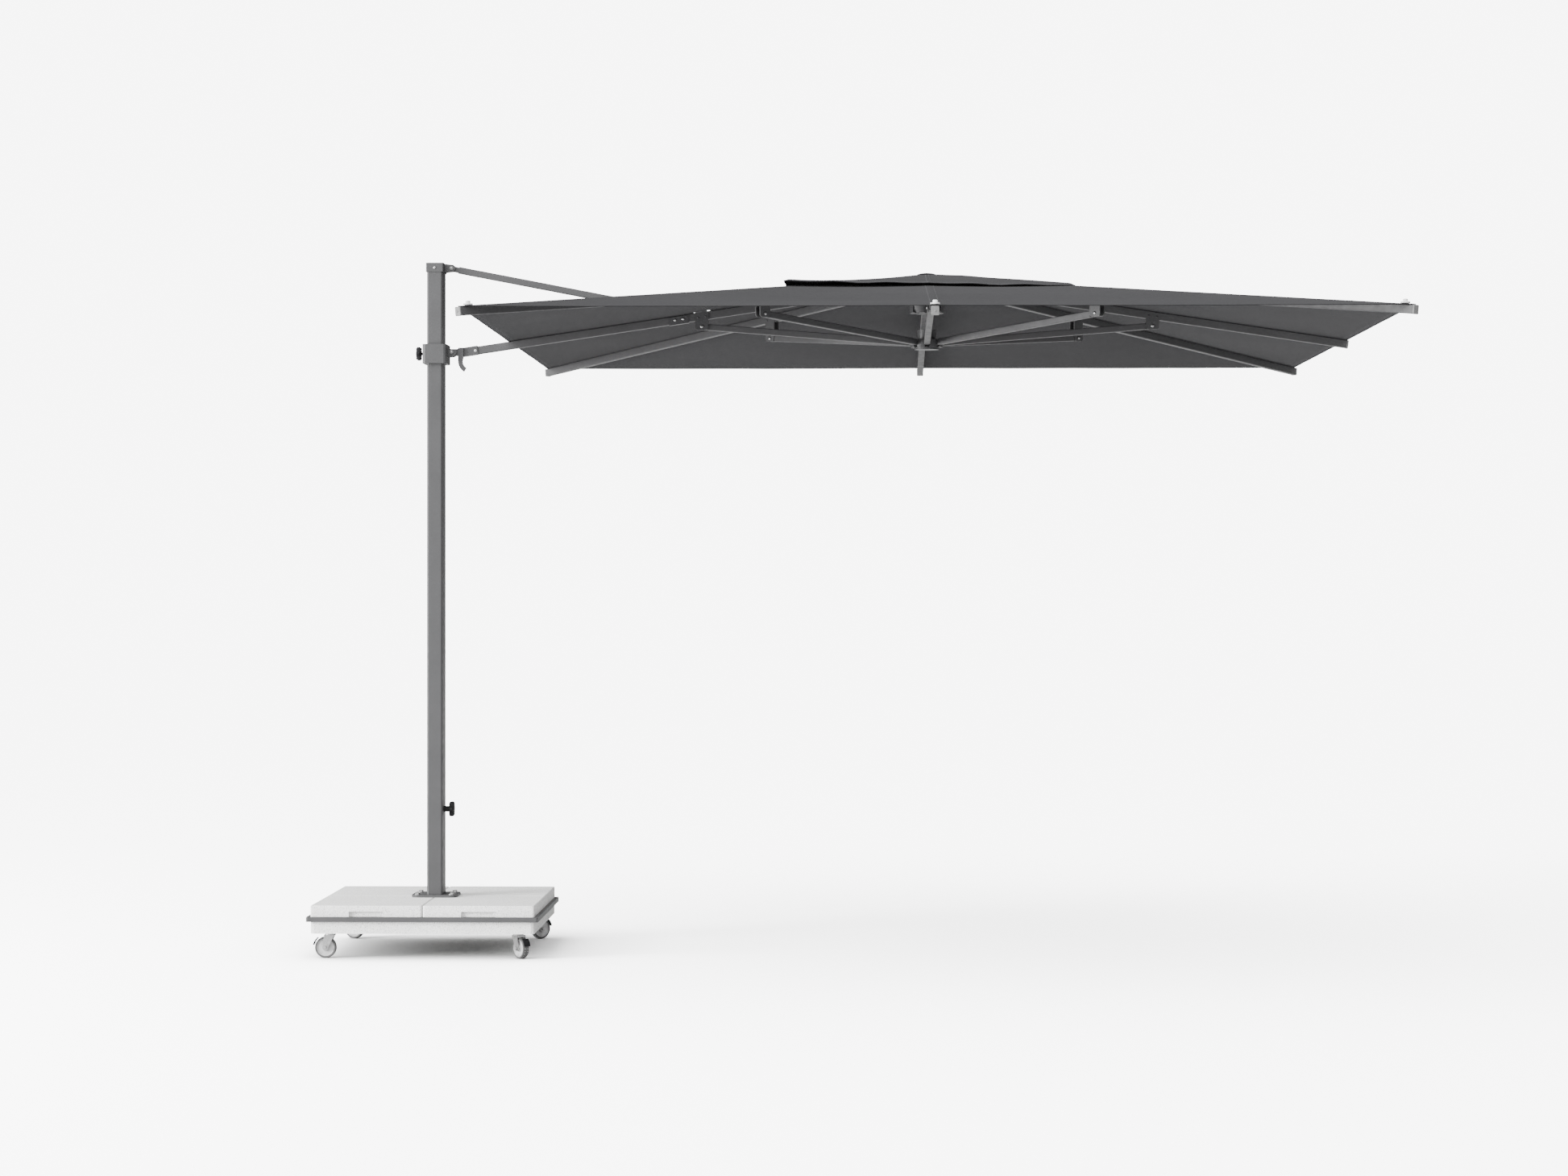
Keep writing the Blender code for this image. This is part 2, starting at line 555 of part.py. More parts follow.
def make_strut(name, azimuth, mats):
    """Strut from its rib's bracket in to the runner. The origin is its bracket pin."""
    turn = math.radians(azimuth)
    run = STRUT_AT - HUB_R
    fall = STRUT_PIN_Z - RUNNER_Z
    length = math.hypot(run, fall)
    tilt = math.atan2(fall, run)
    stand = frame_at(f"{name}_pin", (CENTRE_X + STRUT_AT * math.cos(turn), STRUT_AT * math.sin(turn),
                                     STRUT_PIN_Z), (0, 0, turn + math.pi))
    along = frame_at(f"{name}_line", (0, 0, 0), (0, tilt, 0), stand)
    outer = rounded(STRUT_W, STRUT_H, 0.0025)
    inner = rounded(STRUT_W - 2 * STRUT_WALL, STRUT_H - 2 * STRUT_WALL, 0.001)
    strut = part(name, pipe(outer, inner, 0.024, length - 0.026, "X"), mats["powder"], along)
    inside = STRUT_H / 2 - 0.0008
    outer_plug = [*arc((0, 0), 0.0102, 90, 270, 6), (0.040, -inside), (0.040, inside)]
    inner_plug = [(length - 0.042, inside), (length - 0.042, -inside), *arc((length, 0), 0.0102, -90, 90, 6)]
    for plug in (outer_plug, inner_plug):
        combine(strut, prism(plug, -STRUT_TONGUE, STRUT_TONGUE, "Y"), "UNION", along)


# ---------------------------------------------------------------- fabric
def square_ring(half, z):
    """Eight points round a square: its corners and the middles of its sides."""
    return [(half * x, half * y, z) for x, y in
            ((1, 0), (1, 1), (0, 1), (-1, 1), (-1, 0), (-1, -1), (0, -1), (1, -1))]


def make_fabrics(mats):
    half_t = FABRIC_T / 2
    inner_z = HEM_Z + RISE * (1 - OPENING_HALF / HALF)
    rings = [square_ring(HALF, HEM_Z - half_t), square_ring(HALF, HEM_Z + half_t),
             square_ring(OPENING_HALF, inner_z + half_t), square_ring(OPENING_HALF, inner_z - half_t)]
    verts = [p for ring in rings for p in ring]
    faces = [[r * 8 + i, r * 8 + (i + 1) % 8, (r + 1) % 4 * 8 + (i + 1) % 8, (r + 1) % 4 * 8 + i]
             for r in range(4) for i in range(8)]
    canopy = part("canopy_fabric", solid(verts, faces), mats["fabric"], location=(CENTRE_X, 0, 0))
    slot_z = HEM_Z + RISE * (1 - STRUT_AT / HALF)
    slot = box((-0.032, -0.018, slot_z - 0.05), (0.032, 0.018, slot_z + 0.05))
    combine(canopy, slot, "DIFFERENCE", location=(CENTRE_X - STRUT_AT, 0, 0))

    low = square_ring(VENT_HALF, VENT_HEM_Z - half_t) + [(0, 0, VENT_TOP_Z - half_t)]
    high = square_ring(VENT_HALF, VENT_HEM_Z + half_t) + [(0, 0, VENT_TOP_Z + half_t)]
    faces = []
    for i in range(8):
        j = (i + 1) % 8
        faces += [[i, j, 8], [9 + j, 9 + i, 17], [i, j, 9 + j, 9 + i]]
    part("vent_fabric", solid(low + high, faces), mats["fabric"], location=(CENTRE_X, 0, 0))


RIBS = {"left": 180, "right": 0, "front": 270, "rear": 90, "front_left": 225, "front_right": 315,
        "rear_left": 135, "rear_right": 45}


def main():
    for obj in list(bpy.data.objects):
        bpy.data.objects.remove(obj, do_unlink=True)
    mats = {
        "powder": make_material("powder_coat", (0.135, 0.135, 0.138), 0.5, 0.25),
        "rim": make_material("rim_coat", (0.100, 0.100, 0.102), 0.5, 0.2),
        "dark": make_material("cast_fitting", (0.060, 0.060, 0.062), 0.5, 0.2),
        "black": make_material("black_plastic", (0.02, 0.02, 0.022), 0.5, 0.0),
        "steel": make_material("stainless", (0.62, 0.63, 0.64), 0.3, 1.0),
        "wheel": make_material("caster_wheel", (0.62, 0.62, 0.63), 0.45, 0.0),
        "concrete": make_material("slab_concrete", (0.72, 0.72, 0.71), 0.9, 0.0),
        "fabric": make_material("canopy_cloth", (0.085, 0.086, 0.09), 0.9, 0.0),
    }
    make_base(mats)
    make_casters(mats)
    make_mast(mats)
    make_collar(mats)
    make_upper_arm(mats)
    make_lower_arm(mats)
    make_lever(mats)
    make_hubs(mats)
    for side, azimuth in RIBS.items():
        make_rib(f"rib_{side}", azimuth, mats)
        make_strut(f"strut_{side}", azimuth, mats)
    make_fabrics(mats)


main()
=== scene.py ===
import json
import math

import bmesh
import bpy
from mathutils import Matrix, Vector, noise


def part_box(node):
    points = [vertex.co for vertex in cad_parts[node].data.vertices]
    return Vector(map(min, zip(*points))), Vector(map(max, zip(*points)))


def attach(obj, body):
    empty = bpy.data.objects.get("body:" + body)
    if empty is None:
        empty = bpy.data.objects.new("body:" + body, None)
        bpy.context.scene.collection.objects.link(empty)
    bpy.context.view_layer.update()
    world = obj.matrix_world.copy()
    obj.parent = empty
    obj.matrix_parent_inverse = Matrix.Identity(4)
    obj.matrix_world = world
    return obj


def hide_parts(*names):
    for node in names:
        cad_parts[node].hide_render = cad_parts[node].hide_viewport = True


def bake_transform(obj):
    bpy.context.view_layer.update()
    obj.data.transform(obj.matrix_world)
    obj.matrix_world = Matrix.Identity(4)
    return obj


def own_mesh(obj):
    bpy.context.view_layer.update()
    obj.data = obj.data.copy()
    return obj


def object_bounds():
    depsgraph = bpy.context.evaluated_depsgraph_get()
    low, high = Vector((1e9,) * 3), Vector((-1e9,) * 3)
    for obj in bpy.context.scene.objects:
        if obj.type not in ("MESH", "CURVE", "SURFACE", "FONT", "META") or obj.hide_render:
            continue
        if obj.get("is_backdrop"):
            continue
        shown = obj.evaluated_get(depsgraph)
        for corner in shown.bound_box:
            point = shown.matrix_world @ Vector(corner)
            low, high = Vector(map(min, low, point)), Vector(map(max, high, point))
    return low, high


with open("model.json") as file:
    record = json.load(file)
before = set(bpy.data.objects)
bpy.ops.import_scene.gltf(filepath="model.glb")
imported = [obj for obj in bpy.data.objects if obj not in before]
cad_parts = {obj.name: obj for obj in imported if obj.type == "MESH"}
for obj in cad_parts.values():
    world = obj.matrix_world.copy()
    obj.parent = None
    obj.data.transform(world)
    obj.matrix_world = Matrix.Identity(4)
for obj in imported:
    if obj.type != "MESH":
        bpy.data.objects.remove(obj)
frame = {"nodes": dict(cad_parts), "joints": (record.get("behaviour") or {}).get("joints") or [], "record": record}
cad_low, cad_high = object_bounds()

# ---------------------------------------------------------------- sizes, in metres
canopy_low, canopy_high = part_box("canopy_fabric")
vent_low, vent_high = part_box("vent_fabric")
FLOOR_Z = cad_low.z
CENTRE = Vector(((canopy_low.x + canopy_high.x) / 2, 0, 0))
TAN_GORE = math.tan(math.radians(22.5))      # a gore reaches 22.5 degrees to each side of its rib

# Canopy
HALF = (canopy_high.x - canopy_low.x) / 2
HEM_Z = canopy_low.z + 0.0006                # middle of the cloth's thickness
RISE = 0.225                                 # hem to the peak of the ribs' lines
OPENING = 0.24                               # half size of the hole under the vent
HEM = 0.024
SEAM_STRIP = 0.018                           # half width of the doubled cloth along a rib
CANOPY_CLOTH = 0.0009                        # thickness
CANOPY_SAG = (0.0015, 0.0045)                # between the ribs, and how much more midway to the hem
CANOPY_TUCK = 0.0032                         # how far the hem pulls in between the ribs
CANOPY_RIPPLE = 0.0010

# Vent
VENT_HALF = (vent_high.x - vent_low.x) / 2
VENT_HEM_Z = vent_low.z + 0.0006
VENT_TOP_Z = vent_high.z - 0.0015
VENT_LEFT_Z = VENT_HEM_Z + 0.0125            # the vent's hem is lifted on the mast's side
VENT_RIGHT_Z = VENT_HEM_Z - 0.0055
VENT_HEM = 0.016
VENT_STRIP = 0.008                           # half width of the doubled cloth along a seam
VENT_CLOTH = 0.0008                          # thickness
VENT_SLACK = (1.30, 0.50)                    # power of the slope's curve, and how much less on the right
VENT_FLUTTER = 0.0024                        # waves along the hem
VENT_CREASE = 0.0030                         # height of a soft raised ring on the right
VENT_CREASE_AT, VENT_CREASE_WIDTH = 0.26, 0.10         # shares of the way out
VENT_CURL = 0.0058                           # how far the hem's edge turns down
VENT_CURL_WIDTH = 0.020
VENT_SAG = 0.0015
VENT_TUCK = 0.004
VENT_BEND = (0.10, 0.42)                     # distances out from the centre where a flap's bend would start and end; worked out into two points below that nothing uses
LAP = 0.018                                  # how far a corner flap runs on under its neighbours
LAP_MIN = 0.002
LAP_DROP = 0.0016
LAP_STEP = 0.02                              # share of the lap over which it drops

# Ribs, and the slot in the left gore that the upper arm comes through
BRACKET_AT = 0.805                           # canopy's centre to a strut bracket's pin
STRUT_PIN_Z = 2.1425
RIB_BELOW = 0.0165                           # fabric's middle to a rib's centreline
SLOT_HALF = 0.0375
SLOT_REACH = 0.040

RIBS = {"right": 0, "rear_right": 45, "rear": 90, "rear_left": 135, "left": 180, "front_left": 225,
        "front": 270, "front_right": 315}
CASTERS = ("front_left", "front_right", "rear_left", "rear_right")
joints = {j["name"]: j for j in frame["joints"]}


def rib_body(side):
    """The left rib is part of the lower arm."""
    return "lower_arm" if side == "left" else f"rib_{side}"


# ---------------------------------------------------------------- materials
class Nodes:
    """A material's node tree with short ways to add and link nodes."""

    def __init__(self, name):
        self.material = bpy.data.materials.new(name)
        self.material.use_nodes = True
        self.tree = self.material.node_tree
        self.shader = self.tree.nodes["Principled BSDF"]
        self.coords = self.tree.nodes.new("ShaderNodeTexCoord")

    def add(self, kind, **inputs):
        node = self.tree.nodes.new(kind)
        for key, value in inputs.items():
            self.set(node.inputs[key.replace("_", " ")], value)
        return node

    def set(self, socket, value):
        if isinstance(value, bpy.types.NodeSocket):
            self.tree.links.new(value, socket)
        else:
            socket.default_value = value

    def noise(self, scale, detail=3.0, roughness=0.5, vector=None):
        node = self.add("ShaderNodeTexNoise", Scale=scale, Detail=detail, Roughness=roughness)
        self.set(node.inputs["Vector"], vector or self.coords.outputs["Object"])
        return node.outputs["Fac"]

    def ramp(self, value, stops):
        node = self.add("ShaderNodeValToRGB", Fac=value)
        ramp = node.color_ramp
        while len(ramp.elements) < len(stops):
            ramp.elements.new(0.5)
        for element, (at, colour) in zip(ramp.elements, stops):
            element.position = at
            element.color = (*colour, 1) if hasattr(colour, "__len__") else (colour, colour, colour, 1)
        return node.outputs["Color"]

    def math(self, operation, a, b=0.0):
        node = self.tree.nodes.new("ShaderNodeMath")
        node.operation = operation
        self.set(node.inputs[0], a)
        self.set(node.inputs[1], b)
        return node.outputs[0]

    def mix(self, factor, a, b, blend="MIX"):
        node = self.tree.nodes.new("ShaderNodeMix")
        node.data_type = "RGBA"
        node.blend_type = blend
        for socket, value in ((node.inputs[0], factor), (node.inputs[6], a), (node.inputs[7], b)):
            self.set(socket, (*value, 1) if isinstance(value, tuple) and len(value) == 3 else value)
        return node.outputs[2]

    def bump(self, height, strength, distance):
        node = self.add("ShaderNodeBump", Height=height, Strength=strength, Distance=distance)
        previous = self.shader.inputs["Normal"]
        if previous.is_linked:
            self.set(node.inputs["Normal"], previous.links[0].from_socket)
        self.set(previous, node.outputs["Normal"])

    def finish(self, colour, roughness, metallic=0.0):
        self.set(self.shader.inputs["Base Color"], colour)
        self.set(self.shader.inputs["Roughness"], roughness)
        self.shader.inputs["Metallic"].default_value = metallic
        return self.material


def powder_material(name, colour, contrast=0.10):
    """Fine-textured powder coat: orange peel, a little dust, slightly rubbed tone."""
    n = Nodes(name)
    grain = n.noise(900, 2)
    patch = n.noise(7, 4, 0.6)
    low = tuple(c * (1 - contrast) for c in colour)
    high = tuple(c * (1 + contrast) for c in colour)
    base = n.ramp(patch, [(0.3, low), (0.7, high)])
    speck = n.ramp(grain, [(0.35, 0.86), (0.65, 1.12)])
    tone = n.mix(1.0, base, speck, "MULTIPLY")
    n.bump(n.noise(420, 3, 0.6), 0.18, 0.0006)
    rough = n.ramp(n.noise(40, 4), [(0.3, 0.42), (0.7, 0.56)])
    n.shader.inputs["Specular IOR Level"].default_value = 0.45
    return n.finish(tone, rough, 0.0)


def plastic_material(name, colour, rough=0.5, specular=0.5):
    """Moulded plastic: faint mottling and a fine grain."""
    n = Nodes(name)
    n.shader.inputs["Specular IOR Level"].default_value = specular
    patch = n.noise(60, 4)
    base = n.ramp(patch, [(0.3, tuple(c * 0.8 for c in colour)), (0.7, tuple(c * 1.25 for c in colour))])
    n.bump(n.noise(1500, 2), 0.12, 0.0003)
    return n.finish(base, n.ramp(n.noise(150, 3), [(0.3, rough - 0.08), (0.7, rough + 0.08)]))


def steel_material(name, colour, rough=0.32):
    """Zinc-plated or brushed steel: faint streaks and darker patches."""
    n = Nodes(name)
    stretch = n.add("ShaderNodeMapping", Vector=n.coords.outputs["Object"], Scale=(1, 1, 0.06))
    streaks = n.noise(1400, 2, 0.6, stretch.outputs["Vector"])
    patch = n.noise(90, 3)
    base = n.ramp(patch, [(0.25, tuple(c * 0.72 for c in colour)), (0.7, colour)])
    tone = n.mix(1.0, base, n.ramp(streaks, [(0.3, 0.85), (0.7, 1.0)]), "MULTIPLY")
    n.bump(streaks, 0.08, 0.0002)
    return n.finish(tone, n.ramp(streaks, [(0.3, rough - 0.06), (0.7, rough + 0.12)]), 1.0)


def concrete_material(name):
    """Pale cast stone: fine dark and light aggregate, faint cloudiness, pinholes."""
    n = Nodes(name)
    cloud = n.noise(5, 5, 0.6)
    base = n.ramp(cloud, [(0.3, (0.80, 0.80, 0.785)), (0.7, (0.88, 0.88, 0.87))])
    cells = n.add("ShaderNodeTexVoronoi", Vector=n.coords.outputs["Object"], Scale=260.0)
    tint = n.ramp(cells.outputs["Color"], [(0.0, 0.62), (0.22, 0.90), (0.6, 1.0), (1.0, 1.14)])
    grains = n.mix(1.0, base, tint, "MULTIPLY")
    fleck = n.ramp(n.noise(330, 2), [(0.60, 1.0), (0.68, 0.45)])
    tone = n.mix(1.0, grains, fleck, "MULTIPLY")
    holes = n.ramp(n.noise(190, 2), [(0.30, 0.0), (0.36, 1.0)])
    n.bump(holes, 0.35, 0.0012)
    n.bump(n.noise(700, 3), 0.25, 0.0006)
    return n.finish(tone, 0.88)


THREAD = 0.0016                              # repeat of the weave
STITCH = 0.0045                              # repeat of a stitch row
STITCH_HALF = 0.0007
BINDING = 0.0042                             # width of the dark edge binding


def cloth_material(name, dark, light, outer, seam_at, hem_at):
    """Plain weave with stitch rows, from UVs in metres: across the gore, and out from the centre."""
    n = Nodes(name)
    parts = n.add("ShaderNodeSeparateXYZ", Vector=n.coords.outputs["UV"])
    across, out = parts.outputs["X"], parts.outputs["Y"]
    thread = 2 * math.pi / THREAD
    warp = n.math("SINE", n.math("MULTIPLY", across, thread))
    weft = n.math("SINE", n.math("MULTIPLY", out, thread))
    weave = n.math("MULTIPLY_ADD", n.math("MULTIPLY", warp, weft), 0.5)
    weave.node.inputs[2].default_value = 0.5
    slub = n.add("ShaderNodeMapping", Vector=n.coords.outputs["UV"], Scale=(40, 900, 1))
    yarn = n.noise(1.0, 3, 0.6, slub.outputs["Vector"])
    slub_b = n.add("ShaderNodeMapping", Vector=n.coords.outputs["UV"], Scale=(900, 40, 1))
    yarn_b = n.noise(1.0, 3, 0.6, slub_b.outputs["Vector"])
    heather = n.math("ADD", yarn, yarn_b)
    base = n.ramp(n.math("MULTIPLY", heather, 0.5), [(0.36, dark), (0.64, light)])
    cloud = n.ramp(n.noise(2.2, 4, 0.55), [(0.3, 0.92), (0.7, 1.07)])
    tone = n.mix(1.0, base, cloud, "MULTIPLY")
    tone = n.mix(1.0, tone, n.ramp(weave, [(0.0, 0.90), (1.0, 1.06)]), "MULTIPLY")

    def stitches(distance, rows, along):
        wave = n.math("SINE", n.math("MULTIPLY", along, 2 * math.pi / STITCH))
        dashes = n.math("GREATER_THAN", wave, -0.35)
        mask = 0.0
        for row in rows:
            line = n.math("COMPARE", distance, row)
            line.node.inputs[2].default_value = STITCH_HALF
            mask = n.math("MAXIMUM", mask, n.math("MULTIPLY", line, dashes))
        return mask

    side = n.math("ABSOLUTE", across)
    corner = n.math("SUBTRACT", out, side)
    rows = n.math("MAXIMUM", stitches(side, [seam_at], out), stitches(corner, [seam_at * 1.4], out))
    hem_edge = n.math("SUBTRACT", outer, out)
    rows = n.math("MAXIMUM", rows, stitches(hem_edge, [hem_at, hem_at * 0.72], across))
    tone = n.mix(rows, tone, tuple(c * 2.1 for c in light))
    binding = n.math("LESS_THAN", hem_edge, BINDING)
    tone = n.mix(binding, tone, tuple(c * 0.45 for c in dark))
    n.bump(weave, 0.30, 0.0005)
    n.bump(n.noise(16, 3, 0.5), 0.25, 0.004)
    n.bump(rows, 0.5, 0.0008)
    n.shader.inputs["Sheen Weight"].default_value = 0.02
    n.shader.inputs["Sheen Roughness"].default_value = 0.5
    n.shader.inputs["Specular IOR Level"].default_value = 0.05
    return n.finish(tone, n.ramp(weave, [(0.0, 0.85), (1.0, 0.95)]))


CLOTH_DARK, CLOTH_LIGHT = (0.026, 0.026, 0.0275), (0.046, 0.046, 0.0485)
MATS = {
    "powder_coat": powder_material("anthracite_powder", (0.040, 0.040, 0.0415)),
    "rim_coat": powder_material("rim_powder", (0.050, 0.050, 0.0515)),
    "cast_fitting": powder_material("dark_fitting", (0.032, 0.032, 0.034)),
    "black_plastic": plastic_material("black_moulding", (0.010, 0.010, 0.011), 0.6, 0.15),
    "stainless": steel_material("stainless_steel", (0.50, 0.50, 0.50)),
    "caster_wheel": plastic_material("wheel_grey", (0.40, 0.40, 0.40), 0.5, 0.3),
    "slab_concrete": concrete_material("cast_stone"),
    "canopy_cloth": cloth_material("charcoal_cloth", CLOTH_DARK, CLOTH_LIGHT, HALF, 0.0135, HEM * 0.8),
    "vent_cloth": cloth_material("charcoal_vent_cloth", CLOTH_DARK, CLOTH_LIGHT, VENT_HALF, 0.006,
                                 VENT_HEM * 0.8),
    "cap_plastic": plastic_material("cap_grey", (0.13, 0.13, 0.13), 0.5),
    "peg_plastic": plastic_material("peg_white", (0.74, 0.74, 0.74), 0.45),
    "tyre": plastic_material("tyre_grey", (0.085, 0.085, 0.085), 0.65, 0.2),
    "dull_steel": steel_material("dull_steel", (0.22, 0.22, 0.22), 0.5),
}
slot_of = {s["node"]: s["material_slot"] for s in frame["record"]["subparts"]}
for node, obj in frame["nodes"].items():
    obj.data.materials.clear()
    obj.data.materials.append(MATS["dull_steel" if node.endswith("_pin") else slot_of[node]])


# ---------------------------------------------------------------- mesh helpers
def make(name, verts, faces, material, smooth=35):
    mesh = bpy.data.meshes.new(name)
    mesh.from_pydata([tuple(v) for v in verts], [], faces)
    bm = bmesh.new()
    bm.from_mesh(mesh)
    bmesh.ops.recalc_face_normals(bm, faces=bm.faces)
    bm.to_mesh(mesh)
    bm.free()
    mesh.materials.append(MATS[material])
    mesh.shade_smooth()
    mesh.set_sharp_from_angle(angle=math.radians(smooth))
    obj = bpy.data.objects.new(name, mesh)
    bpy.context.scene.collection.objects.link(obj)
    return obj


def set_uvs(obj, uvs):
    """Lay a UV map on a cloth piece, from one UV for each vertex."""
    layer = obj.data.uv_layers.new(name="cloth")
    for loop in obj.data.loops:
        layer.data[loop.index].uv = uvs[loop.vertex_index]


def lathe(profile, count, place):
    """Closed solid of (radius, height) points turned about the local Z axis, placed by a matrix."""
    verts = []
    for r, h in profile:
        for i in range(count):
            a = 2 * math.pi * i / count
            verts.append(place @ Vector((r * math.cos(a), r * math.sin(a), h)))
    faces = [list(range(count))[::-1], list(range(len(verts) - count, len(verts)))]
    for s in range(len(profile) - 1):
        for i in range(count):
            j = (i + 1) % count
            faces.append([s * count + i, s * count + j, (s + 1) * count + j, (s + 1) * count + i])
    return verts, faces


def hexagon(radius, low, high, place):
    """Hexagonal bolt head or nut with a chamfered top."""
    profile = [(radius, low), (radius, high - 0.0008), (radius * 0.86, high)]
    return lathe(profile, 6, place)


def joined(solids):
    """Several (verts, faces) solids as one."""
    verts, faces = [], []
    for v, f in solids:
        start = len(verts)
        verts += v
        faces += [[i + start for i in face] for face in f]
    return verts, faces


def axis_frame(at, axis):
    """Matrix whose local Z lies along an axis, at a point."""
    turn = Vector(axis).normalized().to_track_quat("Z", "Y").to_matrix().to_4x4()
    return Matrix.Translation(Vector(at)) @ turn


def round_head(radius, height, place):
    """Domed screw or rivet head."""
    steps = 4
    profile = [(radius, 0)]
    for i in range(steps + 1):
        a = math.pi / 2 * i / steps
        profile.append((max(radius * math.cos(a), 0.0004), 0.3 * height + 0.7 * height * math.sin(a)))
    return lathe(profile, 14, place)


def rounded_box(low, high, radius, place, steps=3):
    """Box with its four edges along local X rounded and both ends eased."""
    (x0, y0, z0), (x1, y1, z1) = low, high
    cy, cz = (y0 + y1) / 2, (z0 + z1) / 2

    def ring(x, shrink):
        points = []
        hy, hz = (y1 - y0) / 2 - shrink, (z1 - z0) / 2 - shrink
        r = max(radius - shrink, 0.0003)
        for sy, sz, start in ((1, 1, 0), (-1, 1, 90), (-1, -1, 180), (1, -1, 270)):
            for i in range(steps + 1):
                a = math.radians(start + 90 * i / steps)
                points.append(place @ Vector((x, cy + sy * (hy - r) + r * math.cos(a),
                                              cz + sz * (hz - r) + r * math.sin(a))))
        return points

    rings = [ring(x0, 0.001), ring(x0 + 0.001, 0), ring(x1 - 0.001, 0), ring(x1, 0.001)]
    count = len(rings[0])
    verts = [v for r in rings for v in r]
    faces = [list(range(count))[::-1], list(range(3 * count, 4 * count))]
    for s in range(3):
        for i in range(count):
            j = (i + 1) % count
            faces.append([s * count + i, s * count + j, (s + 1) * count + j, (s + 1) * count + i])
    return verts, faces


# ---------------------------------------------------------------- cloth surfaces
def smoothstep(a, b, x):
    t = min(max((x - a) / (b - a), 0), 1)
    return t * t * (3 - 2 * t)


def canopy_point(face, s, across):
    """A point of the canopy's middle surface: ring half-size s, distance across from the side rib."""
    share = abs(across) / s
    belly = math.sin(math.pi * min(share, 1))
    inside = smoothstep(OPENING, 0.75, s) * (1 - smoothstep(1.15, HALF, s))
    sag = belly * (CANOPY_SAG[0] + CANOPY_SAG[1] * inside)
    tuck = CANOPY_TUCK * belly * smoothstep(1.2, HALF, s)
    uneven = noise.noise(Vector((across * 9, face * 7.3, s * 3)))
    ripple = CANOPY_RIPPLE * smoothstep(1.3, HALF, s) * belly * uneven
    z = HEM_Z + RISE * (1 - s / HALF) - sag + ripple
    return Matrix.Rotation(math.radians(90 * face), 3, "Z") @ Vector((s - tuck, across, z)) + CENTRE


def vent_point(face, s, across):
    """A point of the vent: it hangs slack on the mast's side and is pulled tight on the other."""
    share = abs(across) / max(s, 1e-6)
    belly = math.sin(math.pi * min(share, 1))
    edge = smoothstep(0.25, VENT_HALF, s)
    turn = Matrix.Rotation(math.radians(90 * face), 3, "Z")
    flat = turn @ Vector((s, across, 0))
    radius = max(math.hypot(flat.x, flat.y), 1e-6)
    t = s / VENT_HALF
    rightward = flat.x / radius
    slack = VENT_SLACK[0] - VENT_SLACK[1] * rightward        # over 1 the slope is hollow, under 1 it swells
    hem_z = VENT_LEFT_Z + (VENT_RIGHT_Z - VENT_LEFT_Z) * (flat.x / max(s, 1e-6) * 0.5 + 0.5)
    flutter = VENT_FLUTTER * edge * math.sin(5.2 * math.pi * share + 1.1 * face) * belly
    crease = VENT_CREASE * math.exp(-((t - VENT_CREASE_AT) / VENT_CREASE_WIDTH) ** 2) * max(rightward, 0)
    curl = VENT_CURL * smoothstep(VENT_HALF - VENT_CURL_WIDTH, VENT_HALF, s)
    rise = (VENT_TOP_Z - hem_z) * max(1 - t, 0) ** slack
    z = hem_z + rise - VENT_SAG * belly * t + flutter + crease - curl
    return turn @ Vector((s - VENT_TUCK * belly * edge, across, z)) + CENTRE


def columns_for(side, half_strip, steps, slot_half=None):
    """Columns of one gore, as (face, share, offset): share times s, plus offset, is the distance across.

    The offsets keep the seam strip along the rib, and the slot, at one width.
    """
    azimuth = RIBS[side]
    face = azimuth // 90
    if azimuth % 90 == 0:
        half = [(0, 0), (0, half_strip * 0.9), (0, half_strip)]
        if slot_half:
            half.append((0, slot_half))
        last = slot_half or half_strip
        half += [(TAN_GORE * i / steps, last * (1 - i / steps)) for i in range(1, steps + 1)]
        right = [(face, share, offset) for share, offset in half]
        left = [(face, -share, -offset) for share, offset in half[1:]]
        return left[::-1] + right
    lower, upper = [], []
    spread = 1 - TAN_GORE
    for i in range(steps + 1):
        t = i / steps
        lower.append((face, TAN_GORE + spread * t, -half_strip * t))
        upper.append(((face + 1) % 4, -(TAN_GORE + spread * t), half_strip * t))
    lower += [(face, 1, -half_strip * 0.9), (face, 1, 0)]
    upper += [((face + 1) % 4, -1, half_strip * 0.9)]
    return lower + upper[::-1]


def lap_width(s):
    """How far a corner flap of the vent runs on under its neighbours, so that no slit opens as it folds."""
    return LAP_MIN + LAP * smoothstep(0.02, 0.09, s) * (1 - smoothstep(0.33, 0.43, s))


